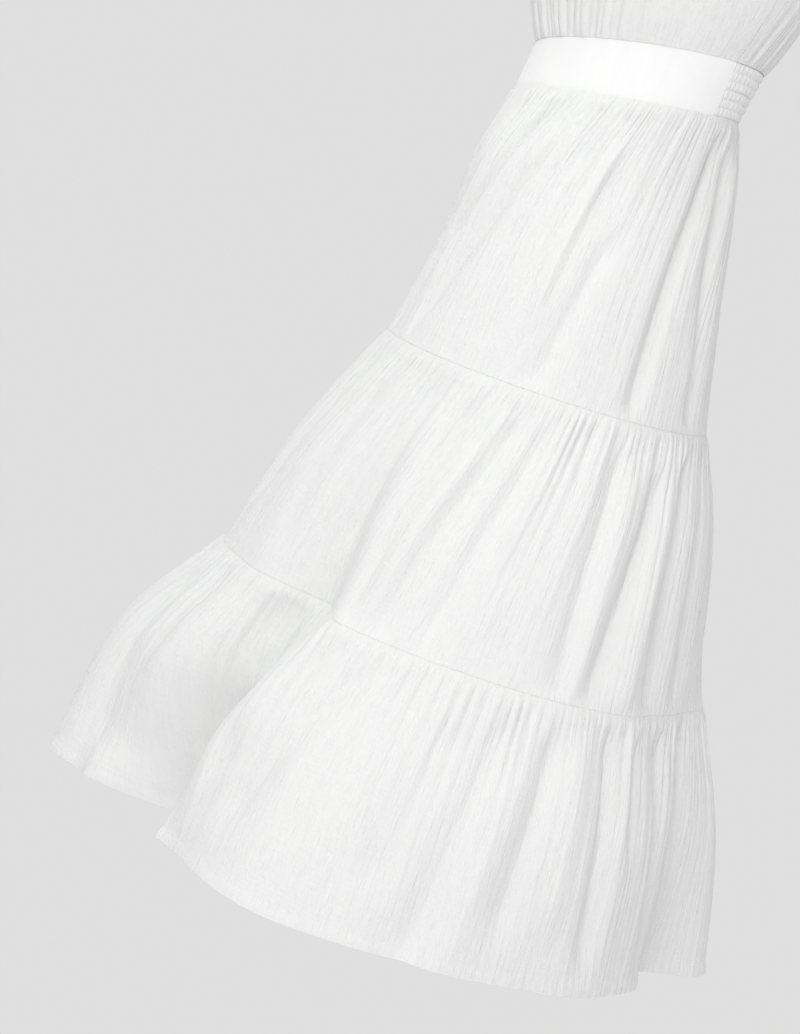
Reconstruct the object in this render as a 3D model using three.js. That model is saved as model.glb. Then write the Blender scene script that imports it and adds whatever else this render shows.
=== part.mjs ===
// Sleeveless midi dress in crinkled cotton double gauze: a gathered bodice, a waistband that is
// plain in front and smocked behind, and a skirt of three gathered tiers caught mid-swing.
// Millimetres, +Z up. The wearer faces -Y and +X is the wearer's left.
// The origin lies midway between the shoulder seams, where the wearer holds the dress up.
// "Round" is an angle round the body: 0 wearer's left, 90 front, 180 right, 270 back.
import * as THREE from 'three';

// ---------------------------------------------------------------- driving sizes
const WALL = 2.0;              // gauze with its crinkle, as a solid wall
const HEM_WALL = 3.0;          // where the hem is folded twice
const HEM_DEPTH = 0.035;       // share of the lowest tier taken by the hem
const SEAM_GAP = 0.34;         // clear gap left at each seam
const SWING_ROUND = 135;       // the skirt swings toward the wearer's front right

const WAIST_DROP = 390;        // shoulder seams down to the top of the waistband
const WAIST_SWING = 109.5;     // how far the hips stand forward-right of the shoulders
const WAIST_RISE = 0.197;      // the leaning waist climbs toward the swing
const SIDE_SEAM_AT = 8;        // side seams sit this far forward of the hips at the waist
const UNDERARM_UP = 210;       // heights above the top of the waistband
const CHEST_TOP_UP = 250;
const SHOULDER_TIP = { x: 168, up: 362 };
const NECK_POINT = { x: 75, up: 398 };
const FRONT_NECK_DEPTH = 98;
const BACK_NECK_DEPTH = 30;
const ARMHOLE_SCOOP = 28;

const SMOCK_ROWS = 5;          // rows of elastic behind
const SMOCK_SWELL = 1.3;
const SMOCK_COLUMNS = 20;

// Hoops of the waistband and skirt. drop: below the origin; swing: centre moved toward the swing;
// long and short: half sizes; axis: direction of the long half; turn: cloth turned toward the
// front; rise: height gained per mm toward the swing; dip: height lost per mm to the front left.
const HOOPS = {
  bandTop: { drop: 390.0, swing: 109.5, long: 125, short: 95, axis: 0, turn: 8, rise: 0.197, dip: 0.0 },
  bandFoot: { drop: 434.0, swing: 132.0, long: 122, short: 93, axis: 0, turn: 6, rise: 0.193, dip: 0.08 },
  hip: { drop: 508.0, swing: 152.5, long: 129, short: 116, axis: 135, turn: 12, rise: 0.22, dip: 0.10 },
  thigh: { drop: 598.0, swing: 175.5, long: 141, short: 135, axis: 135, turn: 21, rise: 0.27, dip: 0.13 },
  seamOne: { drop: 710.0, swing: 211.0, long: 158, short: 150, axis: 135, turn: 24, rise: 0.327, dip: 0.16 },
  knee: { drop: 783.5, swing: 237.0, long: 191, short: 178, axis: 135, turn: 29, rise: 0.335, dip: 0.175 },
  calf: { drop: 854.5, swing: 262.5, long: 215, short: 196, axis: 135, turn: 33, rise: 0.345, dip: 0.185 },
  seamTwo: { drop: 951.5, swing: 294.5, long: 239, short: 210, axis: 135, turn: 36, rise: 0.35, dip: 0.19 },
  flare: { drop: 1030, swing: 331.5, long: 288, short: 245, axis: 135, turn: 36, rise: 0.35, dip: 0.195 },
  sweep: { drop: 1092, swing: 352.0, long: 309, short: 262, axis: 135, turn: 37, rise: 0.35, dip: 0.20 },
  hem: { drop: 1188.5, swing: 381.0, long: 327, short: 275, axis: 135, turn: 38, rise: 0.347, dip: 0.20 },
};

// Each tier: its hoops, how far the lobes of the skirt have grown at each, its gathers, its mesh.
const TIERS = {
  band: { hoops: ['bandTop', 'bandFoot'], growth: [0, 0], gathers: 0, gatherHeight: 0, columns: 26 },
  one: {
    hoops: ['bandFoot', 'hip', 'thigh', 'seamOne'], growth: [0, 0, 0, 0],
    gathers: 30, gatherHeight: 2.2, columns: 40,
  },
  two: {
    hoops: ['seamOne', 'knee', 'calf', 'seamTwo'], growth: [0, 0.3, 0.62, 1],
    gathers: 34, gatherHeight: 3.2, columns: 44,
  },
  three: {
    hoops: ['seamTwo', 'flare', 'sweep', 'hem'], growth: [1, 1.3, 1.6, 2],
    gathers: 36, gatherHeight: 4.0, columns: 48,
  },
};

// Lobes and hollows of the swinging skirt, measured round from the swing toward the front left:
// place and reach (share of the hoop) at the second seam, then at the hem.
const LOBES = [
  { name: 'far lobe tip', seamAt: 0, seamReach: 1.0, hemAt: 0, hemReach: 1.0 },
  { name: 'far lobe face', seamAt: 24, seamReach: 0.96, hemAt: 12, hemReach: 0.9 },
  { name: 'deep hollow', seamAt: 48, seamReach: 0.82, hemAt: 30, hemReach: 0.53 },
  { name: 'near lobe edge', seamAt: 63, seamReach: 1.07, hemAt: 45, hemReach: 0.89 },
  { name: 'near lobe swell', seamAt: 78, seamReach: 1.07, hemAt: 74, hemReach: 1.1 },
  { name: 'near lobe middle', seamAt: 104, seamReach: 1.05, hemAt: 97, hemReach: 1.03 },
  { name: 'side seam flat', seamAt: 126, seamReach: 1.02, hemAt: 118, hemReach: 0.98 },
  { name: 'near lobe end', seamAt: 144, seamReach: 0.95, hemAt: 147, hemReach: 0.905 },
  { name: 'back hollow', seamAt: 158, seamReach: 0.94, hemAt: 160, hemReach: 0.82 },
  { name: 'back lobe', seamAt: 182, seamReach: 1.0, hemAt: 180, hemReach: 1.0 },
  { name: 'centre back hollow', seamAt: 212, seamReach: 0.97, hemAt: 212, hemReach: 0.93 },
  { name: 'right back lobe', seamAt: 238, seamReach: 1.02, hemAt: 238, hemReach: 1.04 },
  { name: 'right hollow', seamAt: 262, seamReach: 0.96, hemAt: 262, hemReach: 0.9 },
  { name: 'right side lobe', seamAt: 290, seamReach: 1.03, hemAt: 290, hemReach: 1.05 },
  { name: 'right front hollow', seamAt: 318, seamReach: 0.96, hemAt: 318, hemReach: 0.88 },
  { name: 'far lobe back', seamAt: 342, seamReach: 1.0, hemAt: 342, hemReach: 0.99 },
];

// The larger creases: round angle at the top and foot of the tier, where along the tier the
// crease starts and ends, its depth (negative goes in) and its width in degrees.
const FOLDS = [
  { tier: 'one', top: -11, foot: -6, start: 0.02, end: 1.0, depth: -7, width: 5 },
  { tier: 'one', top: -20, foot: -38, start: 0.05, end: 1.0, depth: -6, width: 6 },
  { tier: 'one', top: 80, foot: 106, start: 0.02, end: 1.0, depth: -6, width: 6 },
  { tier: 'one', top: 60, foot: 86, start: 0.15, end: 0.95, depth: -4, width: 5 },
  { tier: 'one', top: 37, foot: 38, start: 0.1, end: 0.7, depth: 4, width: 5 },
  { tier: 'one', top: 14, foot: 30, start: 0.5, end: 1.0, depth: -4, width: 6 },
  { tier: 'one', top: 140, foot: 132, start: 0.05, end: 0.9, depth: -6, width: 6 },
  { tier: 'one', top: 168, foot: 176, start: 0.1, end: 1.0, depth: -5, width: 6 },
  { tier: 'one', top: 205, foot: 214, start: 0.0, end: 0.9, depth: -6, width: 6 },
  { tier: 'one', top: 246, foot: 240, start: 0.05, end: 1.0, depth: -6, width: 7 },
  { tier: 'one', top: 292, foot: 300, start: 0.0, end: 0.95, depth: -7, width: 6 },
  { tier: 'two', top: 44, foot: 36, start: 0.05, end: 1.0, depth: -9, width: 5 },
  { tier: 'two', top: 27, foot: 30, start: 0.05, end: 1.0, depth: -8, width: 4 },
  { tier: 'two', top: 18, foot: 20, start: 0.05, end: 0.95, depth: -6, width: 4 },
  { tier: 'two', top: -6, foot: -10, start: 0.05, end: 1.0, depth: -7, width: 4 },
  { tier: 'two', top: -25, foot: -18, start: 0.1, end: 1.0, depth: -10, width: 5 },
  { tier: 'two', top: -36, foot: -39, start: 0.05, end: 1.0, depth: -10, width: 5 },
  { tier: 'two', top: 78, foot: 70, start: 0.1, end: 0.9, depth: -5, width: 6 },
  { tier: 'two', top: 118, foot: 124, start: 0.05, end: 1.0, depth: -8, width: 6 },
  { tier: 'two', top: 160, foot: 152, start: 0.0, end: 0.9, depth: -9, width: 6 },
  { tier: 'two', top: 204, foot: 210, start: 0.05, end: 1.0, depth: -9, width: 6 },
  { tier: 'two', top: 240, foot: 232, start: 0.1, end: 0.95, depth: -8, width: 6 },
  { tier: 'two', top: 276, foot: 284, start: 0.0, end: 1.0, depth: -9, width: 6 },
  { tier: 'three', top: 26, foot: 40, start: 0.03, end: 0.8, depth: -8, width: 4 },
  { tier: 'three', top: 7, foot: 12, start: 0.1, end: 0.8, depth: -6, width: 5 },
  { tier: 'three', top: -1, foot: 3, start: 0.05, end: 1.0, depth: -8, width: 4 },
  { tier: 'three', top: -12, foot: -10, start: 0.05, end: 0.85, depth: -10, width: 4 },
  { tier: 'three', top: -25, foot: -30, start: 0.0, end: 0.9, depth: -12, width: 4 },
  { tier: 'three', top: -46, foot: -53, start: 0.0, end: 1.0, depth: -14, width: 5 },
  { tier: 'three', top: 92, foot: 84, start: 0.05, end: 0.9, depth: -9, width: 5 },
  { tier: 'three', top: 132, foot: 140, start: 0.0, end: 1.0, depth: -12, width: 5 },
  { tier: 'three', top: 176, foot: 170, start: 0.0, end: 0.9, depth: -12, width: 5 },
  { tier: 'three', top: 214, foot: 220, start: 0.05, end: 1.0, depth: -12, width: 5 },
  { tier: 'three', top: 262, foot: 254, start: 0.0, end: 0.95, depth: -12, width: 5 },
];

// Torso form under the bodice: half width and half depth at heights above the waistband.
const TORSO = [
  { up: 0, width: 125, depth: 95 },
  { up: 31, width: 140, depth: 107 },
  { up: 60, width: 150, depth: 118 },
  { up: 100, width: 153, depth: 126 },
  { up: 150, width: 153, depth: 129 },
  { up: 210, width: 152, depth: 118 },
  { up: 280, width: 172, depth: 103 },
  { up: 340, width: 184, depth: 95 },
  { up: 400, width: 190, depth: 90 },
];
// Share of each half panel whose top edge is armhole, then shoulder; the rest is neckline.
const ARMHOLE_SHARE = 0.43;
const SHOULDER_SHARE = 0.24;
const BODICE_MESH = { columns: 28, rows: 7 };
const BODICE_GATHERS = { count: 26, height: 2.0 };

// ---------------------------------------------------------------- small helpers
const rad = THREE.MathUtils.degToRad;
const mix = THREE.MathUtils.lerp;
const swingDir = new THREE.Vector3(Math.cos(rad(SWING_ROUND)), -Math.sin(rad(SWING_ROUND)), 0);
const frontLeftDir = new THREE.Vector3(-swingDir.y, swingDir.x, 0);

function ease(t) {
  const c = Math.min(1, Math.max(0, t));
  return c * c * (3 - 2 * c);
}

function wrapDegrees(a) {
  return ((a + 180) % 360 + 360) % 360 - 180;
}

// Smooth curve through values at uneven knots, for any field a function reads.
function along(knots, read, t) {
  let k = 0;
  while (k < knots.length - 2 && t > knots[k + 1]) k += 1;
  const span = knots[k + 1] - knots[k];
  const f = Math.min(1, Math.max(0, (t - knots[k]) / span));
  const at = (i) => {
    if (i < 0) return 2 * read(0) - read(1);
    if (i > knots.length - 1) return 2 * read(knots.length - 1) - read(knots.length - 2);
    return read(i);
  };
  const [a, b, c, d] = [at(k - 1), at(k), at(k + 1), at(k + 2)];
  return 0.5 * (2 * b + (c - a) * f + (2 * a - 5 * b + 4 * c - d) * f * f + (3 * b - a - 3 * c + d) * f ** 3);
}

// ---------------------------------------------------------------- skirt and waistband
// How far a hoop reaches at an angle from the swing, once the lobes have grown by `growth`.
function lobeReach(fromSwing, growth) {
  const low = Math.min(1, growth);
  const high = Math.max(0, growth - 1);
  const rows = LOBES.map((lobe) => ({
    at: mix(lobe.seamAt, lobe.hemAt, high),
    reach: mix(mix(1, lobe.seamReach, low), lobe.hemReach, high),
  }));
  const angle = ((fromSwing % 360) + 360) % 360;
  const count = rows.length;
  let k = count - 1;
  for (let i = 0; i < count; i += 1) if (rows[i].at <= angle) k = i;
  const here = rows[k];
  const next = rows[(k + 1) % count];
  const span = ((next.at - here.at) % 360 + 360) % 360;
  const f = (((angle - here.at) % 360 + 360) % 360) / span;
  return mix(here.reach, next.reach, ease(f));
}

function hoopPoint(hoop, growth, round) {
  const turned = round + hoop.turn;
  const reach = growth > 0 ? lobeReach(SWING_ROUND - turned, growth) : 1;
  const u = rad(turned - hoop.axis);
  const longPart = hoop.long * Math.cos(u) * reach;
  const shortPart = hoop.short * Math.sin(u) * reach;
  const a = rad(hoop.axis);
  const flat = new THREE.Vector3(
    longPart * Math.cos(a) - shortPart * Math.sin(a),
    -longPart * Math.sin(a) - shortPart * Math.cos(a),
    0,
  );
  const drop = hoop.drop - hoop.rise * flat.dot(swingDir) + hoop.dip * flat.dot(frontLeftDir);
  return flat.addScaledVector(swingDir, hoop.swing).setZ(-drop);
}

function tierKnots(tier) {
  const drops = tier.hoops.map((name) => HOOPS[name].drop);
  return drops.map((drop) => (drop - drops[0]) / (drops[drops.length - 1] - drops[0]));
}

function smoothTierPoint(tier, round, down) {
  const ring = tier.hoops.map((name, i) => hoopPoint(HOOPS[name], tier.growth[i], round));
  const knots = tierKnots(tier);
  return new THREE.Vector3(
    along(knots, (i) => ring[i].x, down),
    along(knots, (i) => ring[i].y, down),
    along(knots, (i) => ring[i].z, down),
  );
}

// Outward direction lying in the tilted plane of the hoop.
function tierOutward(tier, round, down) {
  const step = 0.6;
  const tangent = smoothTierPoint(tier, round + step, down)
    .sub(smoothTierPoint(tier, round - step, down));
  const knots = tierKnots(tier);
  const rise = along(knots, (i) => HOOPS[tier.hoops[i]].rise, down);
  const dip = along(knots, (i) => HOOPS[tier.hoops[i]].dip, down);
  const planeUp = new THREE.Vector3(0, 0, 1).addScaledVector(swingDir, -rise)
    .addScaledVector(frontLeftDir, dip);
  return tangent.cross(planeUp).normalize().negate();
}

function foldDepth(tierName, round, down) {
  let depth = 0;
  for (const fold of FOLDS) {
    if (fold.tier !== tierName) continue;
    const away = wrapDegrees(round - mix(fold.top, fold.foot, down)) / fold.width;
    const fade = ease((down - fold.start) / 0.15) * ease((fold.end - down) / 0.2 + 0.35);
    depth += fold.depth * Math.exp(-away * away) * fade;
  }
  return depth;
}

// Uneven ripples where the tier is gathered on to the seam above it.
function gatherDepth(tier, round, down) {
  const r = rad(round);
  const phase = tier.gathers * r + 1.9 * Math.sin(3 * r + 0.7) + 1.2 * Math.sin(7 * r + 2.1);
  const fade = (1 - Math.exp(-down / 0.04)) * Math.exp(-down / 0.4);
  return tier.gatherHeight * Math.sin(phase) * fade;
}

function tierPoint(tierName, round, down, lift) {
  const tier = TIERS[tierName];
  const swell = foldDepth(tierName, round, down) + gatherDepth(tier, round, down);
  const atSeam = Math.min(1, down / 0.06, 1);
  return smoothTierPoint(tier, round, down)
    .addScaledVector(tierOutward(tier, round, down), swell * atSeam + lift);
}

// ---------------------------------------------------------------- bodice
function torsoHalf(field, up) {
  const knots = TORSO.map((row) => row.up);
  return along(knots, (i) => TORSO[i][field], up);
}

function shoulderRidge(x) {
  const slope = (NECK_POINT.up - SHOULDER_TIP.up) / (SHOULDER_TIP.x - NECK_POINT.x);
  return NECK_POINT.up - slope * Math.max(0, Math.abs(x) - NECK_POINT.x);
}

// Top edge of a half panel, from the side seam to the centre: armhole, shoulder, neckline.
function bodiceTopEdge(share, neckDepth) {
  if (share < ARMHOLE_SHARE) {
    const t = share / ARMHOLE_SHARE;
    const up = mix(UNDERARM_UP, SHOULDER_TIP.up, t);
    const scoop = ARMHOLE_SCOOP * Math.sin(Math.PI * t) ** 2;
    return { x: mix(torsoHalf('width', UNDERARM_UP), SHOULDER_TIP.x, t) - scoop, up };
  }
  if (share < ARMHOLE_SHARE + SHOULDER_SHARE) {
    const t = (share - ARMHOLE_SHARE) / SHOULDER_SHARE;
    const x = mix(SHOULDER_TIP.x, NECK_POINT.x, t);
    return { x, up: shoulderRidge(x) };
  }
  const t = (share - ARMHOLE_SHARE - SHOULDER_SHARE) / (1 - ARMHOLE_SHARE - SHOULDER_SHARE);
  const a = rad(90 * t);
  return { x: NECK_POINT.x * Math.cos(a), up: NECK_POINT.up - neckDepth * Math.sin(a) };
}

// face is +1 for the front panel and -1 for the back; across runs from left to right side seam.
function smoothBodicePoint(face, across, rise) {
  const mirrored = across > 0.5;
  const share = 2 * (mirrored ? 1 - across : across);
  const edge = bodiceTopEdge(share, face > 0 ? FRONT_NECK_DEPTH : BACK_NECK_DEPTH);
  const edgeAngle = THREE.MathUtils.radToDeg(Math.acos(Math.min(1, edge.x / torsoHalf('width', edge.up))));
  const topRound = face * (mirrored ? 180 - edgeAngle : edgeAngle);
  const round = mix(SIDE_SEAM_AT + face * 180 * across, topRound, ease(rise * 0.9 + 0.1 * rise));
  const up = edge.up * rise;
  const x = torsoHalf('width', up) * Math.cos(rad(round));
  const over = Math.max(0, up - CHEST_TOP_UP) / (shoulderRidge(x) - CHEST_TOP_UP);
  const rounding = Math.sqrt(Math.max(0, 1 - Math.min(1, over) ** 2));
  const y = -torsoHalf('depth', up) * Math.sin(rad(round)) * rounding;
  const local = new THREE.Vector3(x, y, 0);
  const lean = WAIST_SWING * (1 - up / NECK_POINT.up) ** 1.15;
  const height = up - WAIST_DROP + WAIST_RISE * local.dot(swingDir);
  return local.addScaledVector(swingDir, lean).setZ(height);
}

function bodiceOutward(face, across, rise) {
  const step = 0.004;
  const a0 = Math.max(0, across - step);
  const a1 = Math.min(1, across + step);
  const r0 = Math.max(0, rise - step);
  const r1 = Math.min(1, rise + step);
  const alongCloth = smoothBodicePoint(face, a1, rise).sub(smoothBodicePoint(face, a0, rise));
  const upCloth = smoothBodicePoint(face, across, r1).sub(smoothBodicePoint(face, across, r0));
  const planeUp = new THREE.Vector3(0, 0, 1).addScaledVector(swingDir, -WAIST_RISE);
  const normal = upCloth.cross(alongCloth).normalize().multiplyScalar(face);
  const level = planeUp.cross(alongCloth).normalize().multiplyScalar(face);
  return level.lerp(normal, ease(rise / 0.2)).normalize();
}

function bodicePoint(face, across, rise, lift) {
  const r = rad(180 * across);
  const phase = BODICE_GATHERS.count * r + 1.4 * Math.sin(5 * r + face);
  const fade = (1 - Math.exp(-rise / 0.03)) * Math.exp(-rise / 0.22);
  const swell = BODICE_GATHERS.height * Math.sin(phase) * fade * ease(8 * across) * ease(8 * (1 - across));
  return smoothBodicePoint(face, across, rise)
    .addScaledVector(bodiceOutward(face, across, rise), swell + lift)
    .add(new THREE.Vector3(0, -face * (SEAM_GAP + 0.3 * rise) * 0.5, 0));
}

// ---------------------------------------------------------------- cloth walls
// A closed wall of cloth: an outer and an inner layer of a grid, joined round the edge.
// place(s, t, side) gives a point of the layer, side being +1 outside and -1 inside.
function clothWall(columns, rowStations, place) {
  const rows = rowStations.length - 1;
  const positions = [];
  const index = [];
  const id = (layer, i, j) => (layer * (columns + 1) + i) * (rows + 1) + j;
  for (const side of [1, -1]) {
    for (let i = 0; i <= columns; i += 1) {
      for (let j = 0; j <= rows; j += 1) {
        const p = place(i / columns, rowStations[j], side);
        positions.push(p.x, p.y, p.z);
      }
    }
  }
  const quad = (a, b, c, d) => index.push(a, b, c, a, c, d);
  for (let i = 0; i < columns; i += 1) {
    for (let j = 0; j < rows; j += 1) {
      quad(id(0, i, j), id(0, i, j + 1), id(0, i + 1, j + 1), id(0, i + 1, j));
      quad(id(1, i, j), id(1, i + 1, j), id(1, i + 1, j + 1), id(1, i, j + 1));
    }
    quad(id(0, i, 0), id(0, i + 1, 0), id(1, i + 1, 0), id(1, i, 0));
    quad(id(0, i, rows), id(1, i, rows), id(1, i + 1, rows), id(0, i + 1, rows));
  }
  for (let j = 0; j < rows; j += 1) {
    quad(id(0, 0, j), id(1, 0, j), id(1, 0, j + 1), id(0, 0, j + 1));
    quad(id(0, columns, j), id(0, columns, j + 1), id(1, columns, j + 1), id(1, columns, j));
  }
  const geometry = new THREE.BufferGeometry();
  geometry.setAttribute('position', new THREE.Float32BufferAttribute(positions, 3));
  geometry.setIndex(index);
  geometry.computeVertexNormals();
  return geometry;
}

function signedVolume(geometry) {
  const p = geometry.getAttribute('position');
  const index = geometry.getIndex();
  const corner = (k) => new THREE.Vector3().fromBufferAttribute(p, index.getX(k));
  let six = 0;
  for (let k = 0; k < index.count; k += 3) six += corner(k).dot(corner(k + 1).cross(corner(k + 2)));
  return six / 6;
}

function facingOut(geometry) {
  if (signedVolume(geometry) > 0) return geometry;
  const index = geometry.getIndex();
  for (let k = 0; k < index.count; k += 3) {
    const b = index.getX(k + 1);
    index.setX(k + 1, index.getX(k + 2));
    index.setX(k + 2, b);
  }
  geometry.computeVertexNormals();
  return geometry;
}

function evenStations(rows) {
  return Array.from({ length: rows + 1 }, (_, j) => j / rows);
}

// Half of a tier or of the waistband, between its two side seams, held clear of its neighbours.
function tierPanel(tierName, face, stations, shape = null, columns = TIERS[tierName].columns) {
  const tier = TIERS[tierName];
  const length = HOOPS[tier.hoops[tier.hoops.length - 1]].drop - HOOPS[tier.hoops[0]].drop;
  const clear = SEAM_GAP / 2;
  const place = (s, t, side) => {
    const down = mix(clear / length, 1 - clear / length, t);
    const perDegree = smoothTierPoint(tier, 1, down).distanceTo(smoothTierPoint(tier, 0, down));
    const perDegreeRight = smoothTierPoint(tier, 181, down).distanceTo(smoothTierPoint(tier, 180, down));
    const first = face > 0 ? clear / perDegree : -clear / perDegree;
    const last = face > 0 ? 180 - clear / perDegreeRight : -180 + clear / perDegreeRight;
    const inHem = tierName === 'three' && down > 1 - HEM_DEPTH - 0.001;
    const lift = side * (inHem ? HEM_WALL : WALL) / 2 + (shape ? shape(s, t) : 0);
    return tierPoint(tierName, mix(first, last, s), down, lift);
  };
  return facingOut(clothWall(columns, stations, place));
}

function bodicePanel(face) {
  const clear = SEAM_GAP / 2 / UNDERARM_UP;
  const place = (s, t, side) => bodicePoint(face, s, mix(clear, 1, t), side * WALL / 2);
  return facingOut(clothWall(BODICE_MESH.columns, evenStations(BODICE_MESH.rows), place));
}

// ---------------------------------------------------------------- the dress
const gauze = { color: 0xf4f3f1, roughness: 0.92, metalness: 0 };
const plainBand = { color: 0xf7f6f4, roughness: 0.88, metalness: 0 };
const smocking = { color: 0xeeedeb, roughness: 0.95, metalness: 0 };

function piece(name, geometry, look) {
  const mesh = new THREE.Mesh(geometry, new THREE.MeshStandardMaterial(look));
  mesh.name = name;
  return mesh;
}

const hemStations = [0, 0.07, 0.24, 0.46, 0.7, 1 - HEM_DEPTH, 1];
const bandStations = [0, 0.5, 1];
const tierStations = [0, 0.08, 0.3, 0.55, 0.8, 1];
const smockStations = evenStations(2 * SMOCK_ROWS);
const smockSwell = (s, t) => -SMOCK_SWELL * Math.cos(2 * Math.PI * SMOCK_ROWS * t);

const dress = new THREE.Group();
dress.name = 'midi_dress';
dress.add(
  piece('bodice_front', bodicePanel(1), gauze),
  piece('bodice_back', bodicePanel(-1), gauze),
  piece('waistband_front', tierPanel('band', 1, bandStations), plainBand),
  piece('waistband_back', tierPanel('band', -1, smockStations, smockSwell, SMOCK_COLUMNS), smocking),
  piece('skirt_tier_1_front', tierPanel('one', 1, tierStations), gauze),
  piece('skirt_tier_1_back', tierPanel('one', -1, tierStations), gauze),
  piece('skirt_tier_2_front', tierPanel('two', 1, tierStations), gauze),
  piece('skirt_tier_2_back', tierPanel('two', -1, tierStations), gauze),
  piece('skirt_tier_3_front', tierPanel('three', 1, hemStations), gauze),
  piece('skirt_tier_3_back', tierPanel('three', -1, hemStations), gauze),
);

export default dress;
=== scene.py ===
# %% [markdown]
# # A tiered midi dress in crinkled gauze
# The dress is modelled as the panels a maker cuts: two bodice panels, a plain front waistband,
# a smocked back waistband, and a front and a back panel for each of three gathered tiers.
# Every panel starts as a flat grid that is carried on to the hoops of the swinging skirt.

import bmesh
import bpy
import numpy as np
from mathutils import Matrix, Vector


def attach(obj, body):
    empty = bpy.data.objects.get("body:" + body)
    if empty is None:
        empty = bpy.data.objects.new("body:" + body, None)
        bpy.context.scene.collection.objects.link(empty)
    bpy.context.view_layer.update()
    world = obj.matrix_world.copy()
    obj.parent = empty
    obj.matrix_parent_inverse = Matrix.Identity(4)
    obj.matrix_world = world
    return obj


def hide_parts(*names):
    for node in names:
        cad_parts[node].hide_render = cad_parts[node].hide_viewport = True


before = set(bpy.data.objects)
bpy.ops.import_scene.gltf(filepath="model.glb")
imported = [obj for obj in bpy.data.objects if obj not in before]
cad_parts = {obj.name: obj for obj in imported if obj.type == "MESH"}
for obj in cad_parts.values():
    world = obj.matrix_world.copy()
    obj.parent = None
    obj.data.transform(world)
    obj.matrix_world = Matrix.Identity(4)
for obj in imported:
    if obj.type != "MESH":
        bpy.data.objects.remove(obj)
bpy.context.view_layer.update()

MM = 0.001
WALL = 1.0
SEAM_GAP = 0.34
SWING_ROUND = 135.0

# %% [markdown]
# ## Sizes of the dress
# Angles run round the body: 0 wearer's left, 90 front, 180 right, 270 back. Each hoop of the
# skirt says how far it hangs below the shoulders, how far it has swung toward the front right,
# its half sizes, and how its plane tilts.

# %% Hoops, tiers and lobes
# drop, swing, long half, short half, axis of the long half, turn, rise, dip
HOOPS = {
    "bandTop": (390.0, 109.5, 125, 95, 0, 8, 0.197, 0.0),
    "bandFoot": (434.0, 132.0, 122, 93, 0, 6, 0.193, 0.08),
    "hip": (508.0, 152.5, 129, 116, 135, 12, 0.22, 0.10),
    "thigh": (598.0, 175.5, 141, 135, 135, 21, 0.27, 0.13),
    "seamOne": (710.0, 211.0, 158, 150, 135, 24, 0.327, 0.16),
    "knee": (783.5, 237.0, 191, 178, 135, 29, 0.335, 0.175),
    "calf": (854.5, 262.5, 215, 196, 135, 33, 0.345, 0.185),
    "seamTwo": (951.5, 294.5, 239, 210, 135, 36, 0.35, 0.19),
    "flare": (1030.0, 331.5, 288, 245, 135, 36, 0.35, 0.195),
    "sweep": (1092.0, 352.0, 309, 262, 135, 37, 0.35, 0.20),
    "hem": (1188.5, 381.0, 327, 275, 135, 38, 0.347, 0.20),
}
# hoops, growth of the lobes at each, gathers round a full turn, their height
TIERS = {
    "band": dict(hoops=("bandTop", "bandFoot"), growth=(0, 0), gathers=0, height=0.0),
    "one": dict(
        hoops=("bandFoot", "hip", "thigh", "seamOne"), growth=(0, 0, 0, 0), gathers=30, height=2.2
    ),
    "two": dict(
        hoops=("seamOne", "knee", "calf", "seamTwo"), growth=(0, 0.3, 0.62, 1), gathers=34, height=3.2
    ),
    "three": dict(
        hoops=("seamTwo", "flare", "sweep", "hem"), growth=(1, 1.3, 1.6, 2), gathers=36, height=4.0
    ),
}
# place and reach of each lobe at the second seam, then at the hem; places are degrees from
# the swing toward the front left
LOBES = (
    (0, 1.0, 0, 1.0),
    (24, 0.96, 12, 0.9),
    (48, 0.82, 30, 0.53),
    (63, 1.07, 45, 0.89),
    (78, 1.07, 74, 1.1),
    (104, 1.05, 97, 1.03),
    (126, 1.02, 118, 0.98),
    (144, 0.95, 147, 0.905),
    (158, 0.94, 160, 0.82),
    (182, 1.0, 180, 1.0),
    (212, 0.97, 212, 0.93),
    (238, 1.02, 238, 1.04),
    (262, 0.96, 262, 0.9),
    (290, 1.03, 290, 1.05),
    (318, 0.96, 318, 0.88),
    (342, 1.0, 342, 0.99),
)
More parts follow.
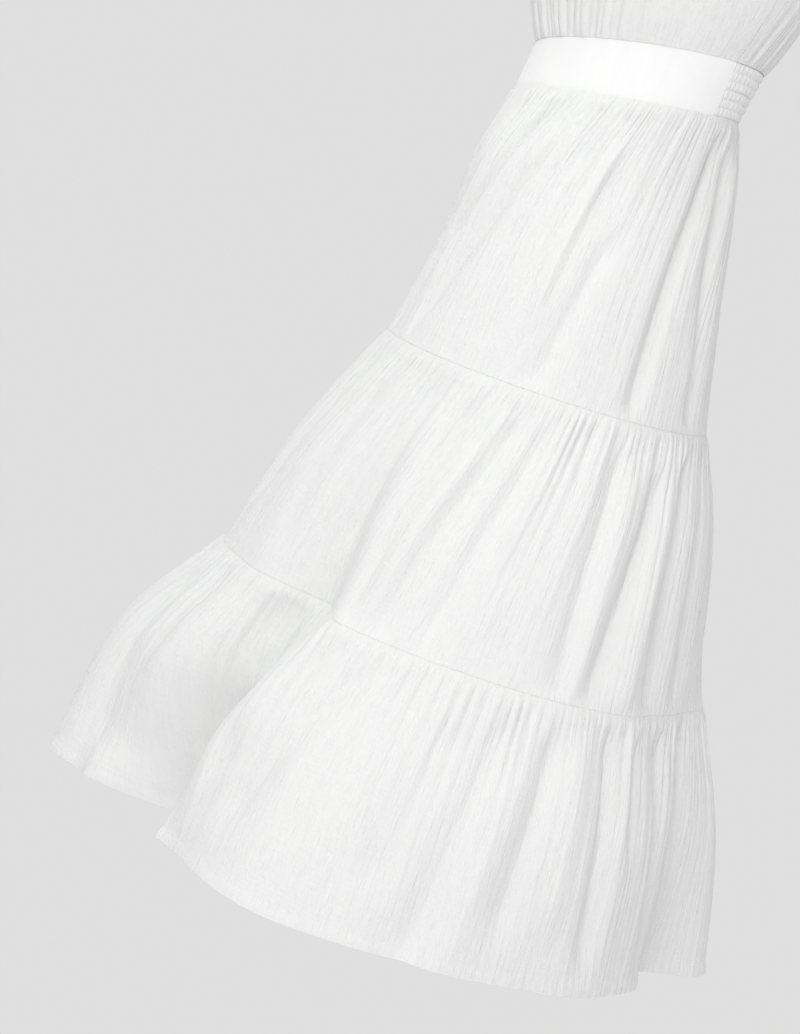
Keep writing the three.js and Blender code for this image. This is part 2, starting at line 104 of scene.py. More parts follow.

# %% [markdown]
# ## The creases
# Each row is one soft trough or ridge: its tier, its angle at the top and foot of the tier,
# where it starts and ends, its depth in millimetres (negative goes in) and its width in degrees.

# %% Creases
# tier, top, foot, start, end, depth, width
FOLDS = (
    ("one", -11, -6, 0.02, 1.0, -12, 3.4),
    ("one", -20, -38, 0.05, 1.0, -11, 4.4),
    ("one", -34, -30, 0.05, 0.9, 4, 5.0),
    ("one", -52, -60, 0.02, 1.0, -9, 4.0),
    ("one", 80, 106, 0.02, 1.0, -9, 3.6),
    ("one", 60, 86, 0.15, 0.95, -6.5, 3.2),
    ("one", 71, 96, 0.05, 0.8, 4, 4.0),
    ("one", 37, 38, 0.1, 0.8, 5.0, 2.6),
    ("one", 34, 35, 0.15, 0.7, -2.4, 2.6),
    ("one", 14, 30, 0.4, 1.0, -6.5, 4.0),
    ("one", 47, 52, 0.2, 0.8, 2.0, 4.0),
    ("one", 22, 20, 0.1, 0.7, 1.8, 4.0),
    ("one", 100, 122, 0.0, 0.9, -5, 5.0),
    ("one", 140, 132, 0.05, 0.9, -6, 6.0),
    ("one", 168, 176, 0.1, 1.0, -5, 6.0),
    ("one", 205, 214, 0.0, 0.9, -6, 6.0),
    ("one", 246, 240, 0.05, 1.0, -6, 7.0),
    ("one", 292, 300, 0.0, 0.95, -7, 6.0),
    ("two", 44, 36, 0.05, 1.0, -9, 3.6),
    ("two", 27, 30, 0.05, 1.0, -9, 3.0),
    ("two", 34, 33, 0.2, 1.0, 4, 2.6),
    ("two", 18, 20, 0.05, 0.95, -6.5, 2.8),
    ("two", 9, 10, 0.0, 0.7, -3.5, 2.4),
    ("two", -6, -10, 0.05, 1.0, -8, 2.8),
    ("two", -13, -14, 0.1, 1.0, 5, 2.8),
    ("two", -25, -18, 0.1, 1.0, -11, 3.2),
    ("two", -31, -28, 0.0, 1.0, 5, 3.0),
    ("two", -36, -39, 0.05, 1.0, -11, 3.4),
    ("two", -50, -54, 0.0, 1.0, -7, 3.4),
    ("two", 56, 52, 0.0, 0.8, -4, 3.5),
    ("two", 78, 70, 0.1, 0.9, -5, 4.0),
    ("two", 96, 92, 0.0, 0.8, -5, 4.0),
    ("two", 118, 124, 0.05, 1.0, -8, 6.0),
    ("two", 160, 152, 0.0, 0.9, -9, 6.0),
    ("two", 204, 210, 0.05, 1.0, -9, 6.0),
    ("two", 240, 232, 0.1, 0.95, -8, 6.0),
    ("two", 276, 284, 0.0, 1.0, -9, 6.0),
    ("three", 26, 40, 0.03, 0.8, -8, 3.0),
    ("three", 20, 26, 0.1, 0.75, -4, 2.6),
    ("three", 34, 50, 0.0, 0.7, -5, 3.0),
    ("three", 7, 12, 0.1, 0.8, -6, 4.0),
    ("three", -1, 3, 0.05, 1.0, -8, 2.8),
    ("three", -6, -4, 0.2, 1.0, 4, 2.4),
    ("three", -12, -10, 0.05, 0.85, -11, 2.8),
    ("three", -18, -20, 0.05, 0.8, 5, 2.6),
    ("three", -25, -30, 0.0, 0.9, -13, 2.8),
    ("three", -34, -38, 0.0, 0.5, -7, 2.0),
    ("three", -46, -53, 0.0, 1.0, -15, 3.4),
    ("three", -60, -60, 0.0, 0.6, -8, 3.0),
    ("three", 62, 68, 0.0, 0.8, -6, 4.0),
    ("three", 80, 78, 0.0, 0.9, -7, 4.0),
    ("three", 92, 84, 0.05, 0.9, -9, 5.0),
    ("three", 132, 140, 0.0, 1.0, -12, 5.0),
    ("three", 176, 170, 0.0, 0.9, -12, 5.0),
    ("three", 214, 220, 0.05, 1.0, -12, 5.0),
    ("three", 262, 254, 0.0, 0.95, -12, 5.0),
)

# %% [markdown]
# ## Helpers
# Directions round the body, a smooth curve through uneven knots, and uneven waves that
# close on themselves after a full turn.

# %% Curves and waves
def toward(degrees):
    a = np.radians(degrees)
    return np.stack([np.cos(a), -np.sin(a), np.zeros_like(a)], axis=-1)


SWING = toward(np.array(SWING_ROUND))
FRONT_LEFT = np.array([-SWING[1], SWING[0], 0.0])
UP = np.array([0.0, 0.0, 1.0])


def ease(t):
    c = np.clip(t, 0, 1)
    return c * c * (3 - 2 * c)


def along(knots, values, t):
    """values[k] at knots[k], each a row of numbers per point; read at t with a smooth curve."""
    knots = np.asarray(knots, float)
    v = [np.asarray(x, float) for x in values]
    v = [2 * v[0] - v[1], *v, 2 * v[-1] - v[-2]]
    v = np.stack(np.broadcast_arrays(*v))
    k = np.clip(np.searchsorted(knots, t, side="right") - 1, 0, len(knots) - 2)
    f = np.clip((t - knots[k]) / (knots[k + 1] - knots[k]), 0, 1)
    pick = np.arange(len(t))
    if v.ndim == 1:
        a, b, c, d = v[k], v[k + 1], v[k + 2], v[k + 3]
    else:
        a, b, c, d = v[k, pick], v[k + 1, pick], v[k + 2, pick], v[k + 3, pick]
        if v.ndim == 3:
            f = f[:, None]
    square, cube = 2 * a - 5 * b + 4 * c - d, 3 * b - a - 3 * c + d
    return 0.5 * (2 * b + (c - a) * f + square * f**2 + cube * f**3)


def uneven(round_deg, seed, low, high, terms=7):
    """A wave of uneven height between about -1 and 1, made of turns from low to high."""
    rng = np.random.default_rng(seed)
    r = np.radians(round_deg)
    total = 0
    for _ in range(terms):
        height, turns, phase = rng.uniform(0.5, 1.0), rng.integers(low, high + 1), rng.uniform(0, 6.28)
        total = total + height * np.sin(turns * r + phase)
    return total / (0.45 * terms)


def pleats(phase):
    """Rounded tops with narrow valleys, between -1 and 1."""
    return 2.6 * np.abs(np.sin(phase / 2)) - 1.6


# %% [markdown]
# ## The skirt's form
# A point of a tier comes from its hoops; it is then moved in or out by creases, gathers and
# crinkle, always along the direction that faces out in the hoop's own plane.

# %% Hoops into tiers
def lobe_reach(from_swing, growth):
    low, high = min(1, growth), max(0, growth - 1)
    rows = np.array(LOBES, float)
    at = rows[:, 0] + (rows[:, 2] - rows[:, 0]) * high
    reach = 1 + (rows[:, 1] - 1) * low
    reach = reach + (rows[:, 3] - reach) * high
    angle = np.mod(from_swing, 360)
    k = np.searchsorted(at, angle, side="right") - 1
    nxt = (k + 1) % len(at)
    span = np.mod(at[nxt] - at[k], 360)
    return reach[k] + (reach[nxt] - reach[k]) * ease(np.mod(angle - at[k], 360) / span)


def hoop_point(name, growth, round_deg):
    drop, swing, long, short, axis, turn, rise, dip = HOOPS[name]
    turned = round_deg + turn
    reach = lobe_reach(SWING_ROUND - turned, growth) if growth > 0 else 1.0
    u, a = np.radians(turned - axis), np.radians(axis)
    lo, sh = long * np.cos(u) * reach, short * np.sin(u) * reach
    x, y = lo * np.cos(a) - sh * np.sin(a), -lo * np.sin(a) - sh * np.cos(a)
    p = np.stack([x, y, np.zeros_like(lo)], axis=-1)
    z = -(drop - rise * (p @ SWING) + dip * (p @ FRONT_LEFT))
    p = p + SWING * swing
    p[:, 2] = z
    return p


def tier_knots(tier):
    drops = np.array([HOOPS[n][0] for n in tier["hoops"]])
    return (drops - drops[0]) / (drops[-1] - drops[0])


def smooth_tier(tier, round_deg, down):
    rings = [hoop_point(n, g, round_deg) for n, g in zip(tier["hoops"], tier["growth"])]
    return along(tier_knots(tier), rings, down)


def tier_outward(tier, round_deg, down):
    step = 0.6
    ahead, behind = smooth_tier(tier, round_deg + step, down), smooth_tier(tier, round_deg - step, down)
    tangent = ahead - behind
    rise = along(tier_knots(tier), [HOOPS[n][6] for n in tier["hoops"]], down)
    dip = along(tier_knots(tier), [HOOPS[n][7] for n in tier["hoops"]], down)
    plane_up = UP - rise[:, None] * SWING + dip[:, None] * FRONT_LEFT
    out = -np.cross(tangent, plane_up)
    return out / np.linalg.norm(out, axis=1)[:, None]


def creases(tier_name, round_deg, down):
    depth = np.zeros_like(down)
    for tier, top, foot, start, end, deep, width in FOLDS:
        if tier != tier_name:
            continue
        away = np.mod(round_deg - (top + (foot - top) * down) + 180, 360) - 180
        fade = ease((down - start) / 0.15) * ease((end - down) / 0.2 + 0.35)
        depth += deep * np.exp(-np.abs(away / width) ** 1.7) * fade
    return depth


# %% Gathers and crinkle
def busy(round_deg):
    """The cloth bunches more on the wearer's left back than in front."""
    away = np.mod(round_deg + 45 + 180, 360) - 180
    back = np.mod(round_deg - 270 + 180, 360) - 180
    return 1 + 1.1 * np.exp(-((away / 30) ** 2)) + 0.5 * np.exp(-((back / 60) ** 2))


def gathers(tier, round_deg, down, seed):
    r = np.radians(round_deg)
    start = 1 - np.exp(-down / 0.02)
    broad = tier["gathers"] * r + 1.9 * np.sin(3 * r + 0.7) + 1.2 * np.sin(7 * r + 2.1)
    fine = np.floor(3.1 * tier["gathers"]) * r + 3.0 * uneven(round_deg, seed, 5, 23)
    fine = fine + 1.4 * uneven(round_deg, seed + 1, 2, 9) * down
    small = np.floor(6.2 * tier["gathers"]) * r + 3.0 * uneven(round_deg, seed + 2, 9, 31)
    lively = 0.65 + 0.45 * uneven(round_deg, seed + 3, 4, 19)
    reach = 0.30 + 0.16 * uneven(round_deg, seed + 4, 6, 27)
    h = tier["height"]
    total = 0.62 * h * np.sin(broad) * np.exp(-down / 0.6) * lively
    total += 0.50 * h * pleats(fine) * np.exp(-down / np.clip(reach, 0.08, 0.6)) * lively
    total += 0.26 * h * pleats(small) * np.exp(-down / 0.09)
    return total * start


def crinkle(round_deg, down, per_turn, seed):
    """Fine lengthwise ribs that drift, fade and return along the length."""
    r = np.radians(round_deg)
    drift = 2.6 * uneven(round_deg, seed, 6, 40)
    drift = drift + 1.3 * np.sin(5.0 * down + 9 * r) + 0.8 * np.sin(11 * down - 17 * r)
    ribs = np.sin(per_turn * r + drift)
    second = np.sin(np.floor(1.62 * per_turn) * r - 1.7 * drift + 3 * down)
    strength = 0.65 + 0.35 * np.sin(13 * r + 6 * down + 2) * np.sin(29 * r - 4 * down)
    return (0.62 * ribs + 0.38 * second) * strength


HEM_FOLD_AT = 0.962  # share of the lowest tier where its turned hem begins


def seam_shape(tier_name, down):
    """The upper cloth ends in a crisp edge; the gathered cloth starts tucked just behind it."""
    if tier_name == "band":
        return np.zeros_like(down)
    tuck = -0.3 * np.exp(-down / 0.012) + 0.9 * np.exp(-(((down - 0.035) / 0.022) ** 2))
    edge = 0.3 * np.exp(-(1 - down) / 0.014)
    if tier_name == "three":
        edge = 0.9 * ease((down - HEM_FOLD_AT) / 0.006)
    return tuck + edge


# %% [markdown]
# ## The bodice's form
# The panels follow a general torso, rise to armholes, shoulder seams and a round neckline,
# and blouse out over the waistband.

# %% Bodice tables and form
TORSO_UP = (0, 31, 60, 100, 150, 210, 280, 340, 400)
TORSO_WIDTH = (125, 140, 150, 153, 153, 152, 172, 184, 190)
TORSO_DEPTH = (95, 107, 118, 126, 129, 118, 103, 95, 90)
WAIST_DROP, WAIST_SWING, WAIST_RISE, SIDE_SEAM_AT = 390.0, 109.5, 0.197, 8.0
UNDERARM_UP, CHEST_TOP_UP = 210.0, 250.0
TIP_X, TIP_UP, NECK_X, NECK_UP = 168.0, 362.0, 75.0, 398.0
NECK_DEPTH = {1: 98.0, -1: 30.0}
ARMHOLE_SCOOP, ARMHOLE_SHARE, SHOULDER_SHARE = 28.0, 0.43, 0.24


def shoulder_ridge(x):
    slope = (NECK_UP - TIP_UP) / (TIP_X - NECK_X)
    return NECK_UP - slope * np.maximum(0, np.abs(x) - NECK_X)


def bodice_top_edge(share, neck_depth):
    t = share / ARMHOLE_SHARE
    under = np.interp(UNDERARM_UP, TORSO_UP, TORSO_WIDTH)
    arm_x = under + (TIP_X - under) * t - ARMHOLE_SCOOP * np.sin(np.pi * np.clip(t, 0, 1)) ** 2
    arm_up = UNDERARM_UP + (TIP_UP - UNDERARM_UP) * t
    s = (share - ARMHOLE_SHARE) / SHOULDER_SHARE
    shoulder_x = TIP_X + (NECK_X - TIP_X) * s
    n = np.radians(90 * (share - ARMHOLE_SHARE - SHOULDER_SHARE) / (1 - ARMHOLE_SHARE - SHOULDER_SHARE))
    neck_x, neck_up = NECK_X * np.cos(n), NECK_UP - neck_depth * np.sin(n)
    armhole, shoulder = share < ARMHOLE_SHARE, share < ARMHOLE_SHARE + SHOULDER_SHARE
    x = np.where(armhole, arm_x, np.where(shoulder, shoulder_x, neck_x))
    up = np.where(armhole, arm_up, np.where(shoulder, shoulder_ridge(shoulder_x), neck_up))
    return x, up


def smooth_bodice(face, across, rise):
    mirrored = across > 0.5
    share = 2 * np.where(mirrored, 1 - across, across)
    edge_x, edge_up = bodice_top_edge(share, NECK_DEPTH[face])
    edge_angle = np.degrees(np.arccos(np.clip(edge_x / along(TORSO_UP, TORSO_WIDTH, edge_up), -1, 1)))
    top_round = face * np.where(mirrored, 180 - edge_angle, edge_angle)
    foot_round = SIDE_SEAM_AT + face * 180 * across
    round_deg = foot_round + (top_round - foot_round) * ease(rise)
    up = edge_up * rise
    x = along(TORSO_UP, TORSO_WIDTH, up) * np.cos(np.radians(round_deg))
    over = np.maximum(0, up - CHEST_TOP_UP) / (shoulder_ridge(x) - CHEST_TOP_UP)
    rounding = np.sqrt(np.maximum(0, 1 - np.minimum(1, over) ** 2))
    y = -along(TORSO_UP, TORSO_DEPTH, up) * np.sin(np.radians(round_deg)) * rounding
    p = np.stack([x, y, np.zeros_like(x)], axis=-1)
    z = up - WAIST_DROP + WAIST_RISE * (p @ SWING)
    p = p + (WAIST_SWING * np.clip(1 - up / NECK_UP, 0, 1) ** 1.15)[:, None] * SWING
    p[:, 2] = z
    return p


def bodice_outward(face, across, rise):
    step = 0.004
    a0, a1 = np.maximum(0, across - step), np.minimum(1, across + step)
    r0, r1 = np.maximum(0, rise - step), np.minimum(1, rise + step)
    along_cloth = smooth_bodice(face, a1, rise) - smooth_bodice(face, a0, rise)
    up_cloth = smooth_bodice(face, across, r1) - smooth_bodice(face, across, r0)
    normal = np.cross(up_cloth, along_cloth) * face
    level = np.cross(UP - WAIST_RISE * SWING, along_cloth) * face
    normal /= np.linalg.norm(normal, axis=1)[:, None]
    level /= np.linalg.norm(level, axis=1)[:, None]
    out = level + (normal - level) * ease(rise / 0.2)[:, None]
    return out / np.linalg.norm(out, axis=1)[:, None]


# %% [markdown]
# ## From flat grid to panel
# Each panel is a Blender grid. Its vertices are carried on to the form, it gets a map in the
# cloth's own metres for the weave, and a thin Solidify gives it two faces.

# %% Panel maker
def panel(name, columns, rows, place, flat, thickness=WALL):
    mesh = bpy.data.meshes.new(name)
    bm = bmesh.new()
    bmesh.ops.create_grid(bm, x_segments=columns, y_segments=rows, size=1.0)
    for edge in bm.edges:
        edge.smooth = not edge.is_boundary  # a crisp cut edge, so seams don't shade dark
    bm.to_mesh(mesh)
    bm.free()
    co = np.empty(len(mesh.vertices) * 3)
    mesh.vertices.foreach_get("co", co)
    co = co.reshape(-1, 3)
    s, t = (co[:, 0] + 1) / 2, (co[:, 1] + 1) / 2
    points, out = place(s, t)
    mesh.vertices.foreach_set("co", (points * MM).ravel())
    corner = np.empty(len(mesh.loops), int)
    mesh.loops.foreach_get("vertex_index", corner)
    cloth_map = mesh.uv_layers.new(name="cloth")
    uv = np.stack([s[corner] * flat[0], t[corner] * flat[1]], axis=-1)
    cloth_map.data.foreach_set("uv", uv.ravel())
    mesh.update()
    face_normal = np.empty(len(mesh.polygons) * 3)
    mesh.polygons.foreach_get("normal", face_normal)
    first = np.empty(len(mesh.polygons), int)
    mesh.polygons.foreach_get("loop_start", first)
    facing = np.einsum("ij,ij->i", face_normal.reshape(-1, 3), out[corner[first]]).mean()
    if facing < 0:
        mesh.flip_normals()
    mesh.shade_smooth()
    obj = bpy.data.objects.new(name, mesh)
    bpy.context.scene.collection.objects.link(obj)
    wall = obj.modifiers.new("cloth wall", "SOLIDIFY")
    wall.thickness = thickness * MM
    wall.offset = 0
    print(f"{name}: {len(mesh.polygons)} faces, faces out: {facing > 0}")
    return obj


SIDE_OVERLAP = 0.4  # how far a panel passes each side seam, so that no slit shows
SEAM_OVERLAP = 0.3  # and how far it passes the seams above and below


def side_angles(tier, face, s, down):
    """Angle of each point, from just past the left side seam to just past the right one."""

    def one_degree(start):
        a, b = (smooth_tier(tier, np.full_like(s, start + extra), down) for extra in (0.0, 1.0))
        return np.linalg.norm(b - a, axis=1)

    first = -face * SIDE_OVERLAP / one_degree(0.0)
    last = face * (180 + SIDE_OVERLAP / one_degree(180.0))
    return first + (last - first) * s


def tier_panel(
    name, tier_name, face, columns, rows, flat, ribs, seed, detail=None, thickness=WALL
):
    tier = TIERS[tier_name]
    length = HOOPS[tier["hoops"][-1]][0] - HOOPS[tier["hoops"][0]][0]
    past = SEAM_OVERLAP / length

    def place(s, t):
        down = -past + (1 + 2 * past) * t
        angle = side_angles(tier, face, s, down)
        out = tier_outward(tier, angle, down)
        swell = creases(tier_name, angle, down) + gathers(tier, angle, down, seed)
        swell = swell * np.minimum(1, down / 0.06)
        if tier_name in ("one", "two"):
            swell = swell * (1 - ease((down - 0.965) / 0.035))
        swell = swell + seam_shape(tier_name, down)
        lively = busy(angle) * np.minimum(1, down / 0.02)
        swell = swell + ribs * lively * crinkle(angle, down, 150 if tier_name == "one" else 210, seed)
        if tier_name != "band":
            swell = swell + 0.35 * np.exp(-(((np.minimum(s, 1 - s) - 0.007) / 0.006) ** 2))
        if detail is not None:
            swell = swell + detail(angle, s, t)
        return smooth_tier(tier, angle, down) + out * swell[:, None], out

    return panel(name, columns, rows, place, flat, thickness)


# %% [markdown]
# ## Making the panels
# First the bodice, gathered most at centre front and across the back.

# %% Bodice panels
BODICE_START = 0.0008  # keeps the bodice just clear of the waistband


def bodice_panel(name, face, columns, rows, flat, seed):
    def place(s, t):
        rise = BODICE_START + (1 - BODICE_START) * t
        out = bodice_outward(face, s, rise)
        angle = 180 * s
        centre = np.exp(-(((s - 0.5) / 0.2) ** 4)) if face > 0 else np.ones_like(s)
        strength = 0.25 + 0.75 * centre
        r = np.radians(angle)
        fine = 84 * r + 2.6 * uneven(angle, seed, 5, 21)
        fine = fine + 1.5 * rise * uneven(angle, seed + 1, 3, 9)
        broad = 30 * r + 1.6 * np.sin(5 * r + face)
        broad = broad + 1.2 * rise * uneven(angle, seed + 5, 3, 9)
        reach = np.clip(0.24 + 0.12 * uneven(angle, seed + 2, 5, 19), 0.06, 0.6)
        swell = 1.3 * pleats(fine) * np.exp(-rise / reach)
        swell = swell + 2.0 * np.sin(broad) * np.exp(-rise / 0.3)
        swell = swell * strength * (1 - np.exp(-rise / 0.012))
        swell = swell * ease(10 * s) * ease(10 * (1 - s))
        ribs = 0.22 * crinkle(angle, rise * 2, 190, seed + 3)
        edge = 0.8 * ease((rise - 0.985) / 0.006)
        swell = swell + ribs * np.minimum(1, rise / 0.02) + edge
        p = smooth_bodice(face, s, rise) + out * swell[:, None]
        p[:, 1] -= face * (SEAM_GAP + 0.3 * rise) * 0.5
        return p, out

    return panel(name, columns, rows, place, flat)


bodice_front = bodice_panel("bodice_front_cloth", 1, 260, 96, (0.50, 0.42), 11)
bodice_back = bodice_panel("bodice_back_cloth", -1, 220, 80, (0.52, 0.42), 23)

# %% [markdown]
# The waistband is pulled smooth in front. Behind, rows of elastic draw it into
# puffed ribs with tiny upright tucks.

# %% Waistband
SMOCK_ROWS = 6


def band_rolls(angle, s, t):
    """Soft turned edges and a slight give in the middle of the plain band."""
    edges = -0.7 * np.exp(-t / 0.05) - 0.5 * np.exp(-(1 - t) / 0.04)
    return edges + 0.35 * uneven(angle, 61, 2, 9) * np.sin(np.pi * t)


def smocking(angle, s, t):
    rib = np.sqrt(np.abs(np.sin(np.pi * SMOCK_ROWS * t)))
    which = np.floor(SMOCK_ROWS * t)
    r = np.radians(angle)
    tucks = np.sin(300 * r + 2.2 * uneven(angle, 31, 9, 41) + 2.1 * which)
    puff = 0.75 + 0.25 * np.sin(90 * r + 1.9 * which + 2 * uneven(angle, 37, 5, 17))
    return 2.2 * rib * puff - 1.7 + 0.5 * tucks * (0.4 + 0.6 * rib)


band_front = tier_panel("waistband_front_cloth", "band", 1, 140, 24, (0.36, 0.05), 0.0, 5, band_rolls, 1.4)
band_back = tier_panel("waistband_back_cloth", "band", -1, 560, 46, (0.50, 0.05), 0.0, 7, smocking)

# %% [markdown]
# The three tiers of the skirt, each gathered on to the one above.

# %% Skirt tiers
tier_1_front = tier_panel("skirt_tier_1_front_cloth", "one", 1, 330, 80, (0.54, 0.30), 0.24, 41)
tier_1_back = tier_panel("skirt_tier_1_back_cloth", "one", -1, 330, 60, (0.54, 0.30), 0.26, 43)
tier_2_front = tier_panel("skirt_tier_2_front_cloth", "two", 1, 420, 72, (0.74, 0.28), 0.26, 51)
tier_2_back = tier_panel("skirt_tier_2_back_cloth", "two", -1, 420, 56, (0.74, 0.28), 0.28, 53)


def hem_bumps(angle, s, t):
    """The folded hem puckers a little between its stitches, which sink in a row."""
    fold = ease((t - HEM_FOLD_AT) / 0.008)
    stitches = -0.35 * np.exp(-(((t - 0.967) / 0.003) ** 2)) * (0.5 + 0.5 * np.sin(380 * np.pi * s))
    return stitches + fold * (0.30 * uneven(angle, 71, 90, 150) + 0.25 * uneven(angle, 73, 40, 80))


tier_3_front = tier_panel("skirt_tier_3_front_cloth", "three", 1, 500, 76, (1.02, 0.285), 0.30, 61, hem_bumps)
tier_3_back = tier_panel("skirt_tier_3_back_cloth", "three", -1, 500, 60, (1.02, 0.285), 0.32, 63, hem_bumps)

# %% [markdown]
# ## Cloth
# White cotton gauze: matt, a little light passing through, with crinkle running lengthwise,
# fainter ribs across it, and a plain weave.

# %% Materials
def cloth(name, colour, crinkle_height, cross_height, weave_height, through):
    mat = bpy.data.materials.new(name)
    mat.use_nodes = True
    nodes, links = mat.node_tree.nodes, mat.node_tree.links
    nodes.clear()
    out = nodes.new("ShaderNodeOutputMaterial")
    uv = nodes.new("ShaderNodeUVMap")
    uv.uv_map = "cloth"

    def stretched(x, y):
        m = nodes.new("ShaderNodeMapping")
        m.inputs["Scale"].default_value = (x, y, 1)
        links.new(uv.outputs["UV"], m.inputs["Vector"])
        return m.outputs["Vector"]

    def noise(vector, detail, rough=0.55):
        n = nodes.new("ShaderNodeTexNoise")
        n.inputs["Scale"].default_value = 1.0
        n.inputs["Detail"].default_value = detail
        n.inputs["Roughness"].default_value = rough
        links.new(vector, n.inputs["Vector"])
        return n.outputs["Fac"]

    def bump(height, distance, below=None):
        b = nodes.new("ShaderNodeBump")
        b.inputs["Strength"].default_value = 1.0
        b.inputs["Distance"].default_value = distance * MM
        links.new(height, b.inputs["Height"])
        if below is not None:
            links.new(below, b.inputs["Normal"])
        return b.outputs["Normal"]

    normal = bump(noise(stretched(210, 16), 4, 0.6), crinkle_height)
    normal = bump(noise(stretched(520, 45), 2, 0.5), crinkle_height * 0.35, normal)
    normal = bump(noise(stretched(60, 330), 2, 0.5), cross_height, normal)
    for direction in ("X", "Y"):
        wave = nodes.new("ShaderNodeTexWave")
        wave.bands_direction = direction
        wave.inputs["Scale"].default_value = 1.0
        wave.inputs["Distortion"].default_value = 0.6
        links.new(stretched(380, 380), wave.inputs["Vector"])
        normal = bump(wave.outputs["Fac"], weave_height, normal)

    ramp = nodes.new("ShaderNodeValToRGB")
    ramp.color_ramp.elements[0].position = 0.3
    shade = (0.975, 0.975, 0.98)
    ramp.color_ramp.elements[0].color = (*(c * d for c, d in zip(colour, shade)), 1)
    ramp.color_ramp.elements[1].position = 0.7
    ramp.color_ramp.elements[1].color = (*colour, 1)
    links.new(noise(stretched(90, 9), 3), ramp.inputs["Fac"])

    skin = nodes.new("ShaderNodeBsdfPrincipled")
    skin.inputs["Roughness"].default_value = 0.9
    skin.inputs["Specular IOR Level"].default_value = 0.2
    skin.inputs["Sheen Weight"].default_value = 0.15
    skin.inputs["Sheen Roughness"].default_value = 0.5
    links.new(ramp.outputs["Color"], skin.inputs["Base Color"])
    links.new(normal, skin.inputs["Normal"])
    glow = nodes.new("ShaderNodeBsdfTranslucent")
    links.new(ramp.outputs["Color"], glow.inputs["Color"])
    links.new(normal, glow.inputs["Normal"])
    both = nodes.new("ShaderNodeMixShader")
    both.inputs["Fac"].default_value = through
    links.new(skin.outputs["BSDF"], both.inputs[1])
    links.new(glow.outputs["BSDF"], both.inputs[2])
    links.new(both.outputs["Shader"], out.inputs["Surface"])
    return mat


WHITE = (0.86, 0.87, 0.855)
gauze = cloth("crinkled gauze", WHITE, 1.7, 0.42, 0.03, 0.12)
plain = cloth("plain band cloth", WHITE, 0.22, 0.10, 0.03, 0.03)
shirred = cloth("shirred cloth", WHITE, 0.8, 0.2, 0.03, 0.06)

# %% [markdown]
# ## Putting the pieces in place
# Each panel takes its material, hangs from the root body and takes the place of its CAD solid, which is
# hidden; the table also lists the flat piece each was cut from.

# %% Pieces
PIECES = (
    (bodice_front, "bodice_front", gauze, "crinkled_gauze", (0.50, 0.42), 0.185, ["waistband_front"]),
    (bodice_back, "bodice_back", gauze, "crinkled_gauze", (0.52, 0.42), 0.195, ["waistband_back"]),
    (band_front, "waistband_front", plain, "plain_band", (0.36, 0.05), None, ["bodice_front"]),
    (band_back, "waistband_back", shirred, "smocked_band", (0.50, 0.05), None, ["bodice_back"]),
    (tier_1_front, "skirt_tier_1_front", gauze, "crinkled_gauze", (0.54, 0.30), None, ["waistband_front"]),
    (tier_1_back, "skirt_tier_1_back", gauze, "crinkled_gauze", (0.54, 0.30), None, ["waistband_back"]),
    (tier_2_front, "skirt_tier_2_front", gauze, "crinkled_gauze", (0.74, 0.28), None, ["skirt_tier_1_front"]),
    (tier_2_back, "skirt_tier_2_back", gauze, "crinkled_gauze", (0.74, 0.28), None, ["skirt_tier_1_back"]),
    (tier_3_front, "skirt_tier_3_front", gauze, "crinkled_gauze", (1.02, 0.285), None, ["skirt_tier_2_front"]),
    (tier_3_back, "skirt_tier_3_back", gauze, "crinkled_gauze", (1.02, 0.285), None, ["skirt_tier_2_back"]),
)
for obj, node, material, slot, flat, area, held_by in PIECES:
    obj.data.materials.append(material)
    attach(obj, "root")
    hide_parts(node)

# %% [markdown]
# ## Studio
# A white paper sweep, a soft key from the camera side, a small top light and an even surround.

# %% Floor and sweep
AWAY = -FRONT_LEFT
RIGHT = -SWING
FLOOR_Z = -1.46
CENTRE = Vector(SWING * 0.358)  # under the middle of the swinging skirt
WALL_AWAY, CURVE_RADIUS, WALL_TOP, HALF_WIDTH = 0.6, 0.4, 6.0, 7


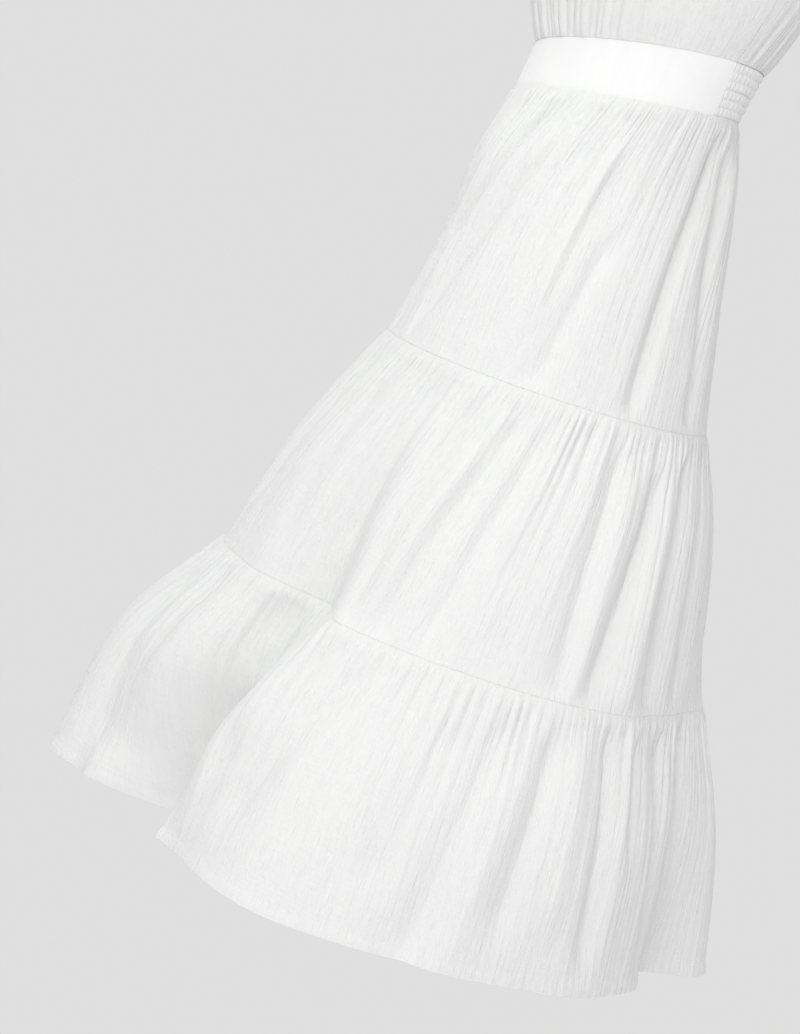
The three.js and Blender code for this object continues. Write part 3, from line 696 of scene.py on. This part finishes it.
def sweep():
    """A paper sweep: a flat floor that curves up into a wall, drawn out sideways."""
    profile = [(-4.0, 0.0), (WALL_AWAY, 0.0)]
    for a in np.linspace(0.1, np.pi / 2, 16):
        profile.append((WALL_AWAY + CURVE_RADIUS * np.sin(a), CURVE_RADIUS * (1 - np.cos(a))))
    profile.append((WALL_AWAY + CURVE_RADIUS, WALL_TOP))
    bm = bmesh.new()
    verts = []
    for t, h in profile:
        side = CENTRE + Vector(AWAY * t - RIGHT * HALF_WIDTH)
        verts.append(bm.verts.new(side + Vector((0, 0, FLOOR_Z + h))))
    edges = [bm.edges.new(pair) for pair in zip(verts[:-1], verts[1:])]
    drawn = bmesh.ops.extrude_edge_only(bm, edges=edges)
    moved = [e for e in drawn["geom"] if isinstance(e, bmesh.types.BMVert)]
    bmesh.ops.translate(bm, verts=moved, vec=Vector(RIGHT * 2 * HALF_WIDTH))
    bmesh.ops.recalc_face_normals(bm, faces=bm.faces)
    bm.faces.ensure_lookup_table()
    if bm.faces[0].normal.z < 0:
        bmesh.ops.reverse_faces(bm, faces=bm.faces)
    mesh = bpy.data.meshes.new("paper sweep")
    bm.to_mesh(mesh)
    bm.free()
    mesh.shade_smooth()
    obj = bpy.data.objects.new("paper sweep", mesh)
    bpy.context.scene.collection.objects.link(obj)
    paper = bpy.data.materials.new("paper")
    paper.use_nodes = True
    skin = paper.node_tree.nodes["Principled BSDF"]
    skin.inputs["Base Color"].default_value = (0.86, 0.845, 0.865, 1)
    skin.inputs["Roughness"].default_value = 1.0
    skin.inputs["Specular IOR Level"].default_value = 0.0
    nodes, links = paper.node_tree.nodes, paper.node_tree.links
    seen = nodes.new("ShaderNodeLightPath")
    lift = nodes.new("ShaderNodeMath")
    lift.operation = "MULTIPLY"
    lift.inputs[1].default_value = 0.03
    links.new(seen.outputs["Is Camera Ray"], lift.inputs[0])
    skin.inputs["Emission Color"].default_value = (1.0, 0.985, 1.0, 1)
    links.new(lift.outputs["Value"], skin.inputs["Emission Strength"])
    # seen from behind the wall, the paper lets the view through
    facing = nodes.new("ShaderNodeNewGeometry")
    behind = nodes.new("ShaderNodeMath")
    behind.operation = "MULTIPLY"
    links.new(facing.outputs["Backfacing"], behind.inputs[0])
    links.new(seen.outputs["Is Camera Ray"], behind.inputs[1])
    clear = nodes.new("ShaderNodeBsdfTransparent")
    choose = nodes.new("ShaderNodeMixShader")
    links.new(behind.outputs["Value"], choose.inputs["Fac"])
    links.new(skin.outputs["BSDF"], choose.inputs[1])
    links.new(clear.outputs["BSDF"], choose.inputs[2])
    links.new(choose.outputs["Shader"], nodes["Material Output"].inputs["Surface"])
    mesh.materials.append(paper)


sweep()


# %% Lights
def soft_light(name, right, away, up, size, power, aim_up):
    data = bpy.data.lights.new(name, "AREA")
    data.shape = "SQUARE"
    data.size = size
    data.energy = power
    obj = bpy.data.objects.new(name, data)
    bpy.context.scene.collection.objects.link(obj)
    aim = CENTRE + Vector((0, 0, aim_up))
    obj.location = CENTRE + Vector(RIGHT * right + AWAY * away) + Vector((0, 0, up))
    obj.rotation_euler = (aim - obj.location).to_track_quat("-Z", "Y").to_euler()


soft_light("key", -0.15, -2.9, 0.55, 1.6, 36, -1.0)
soft_light("top", 0.1, -0.4, 1.6, 0.8, 12, -0.85)

world = bpy.data.worlds.new("studio")
bpy.context.scene.world = world
world.use_nodes = True
world.node_tree.nodes["Background"].inputs["Color"].default_value = (1, 1, 1, 1)
world.node_tree.nodes["Background"].inputs["Strength"].default_value = 0.74

# %% [markdown]
# ## Camera
# Level with the skirt, square to the swing, from the wearer's front left.

# %% Camera
DISTANCE, SENSOR, VIEW_WIDTH, AIM_Z = 3.3, 36, 1.034, -0.847
camera_data = bpy.data.cameras.new("camera")
camera_data.lens = SENSOR * DISTANCE / VIEW_WIDTH
camera_data.sensor_width = SENSOR
camera = bpy.data.objects.new("camera", camera_data)
bpy.context.scene.collection.objects.link(camera)
target = CENTRE + Vector((0, 0, AIM_Z))
camera.location = target - Vector(AWAY * DISTANCE)
camera.rotation_euler = (target - camera.location).to_track_quat("-Z", "Y").to_euler()
bpy.context.scene.camera = camera
bpy.context.scene.view_settings.view_transform = "Standard"
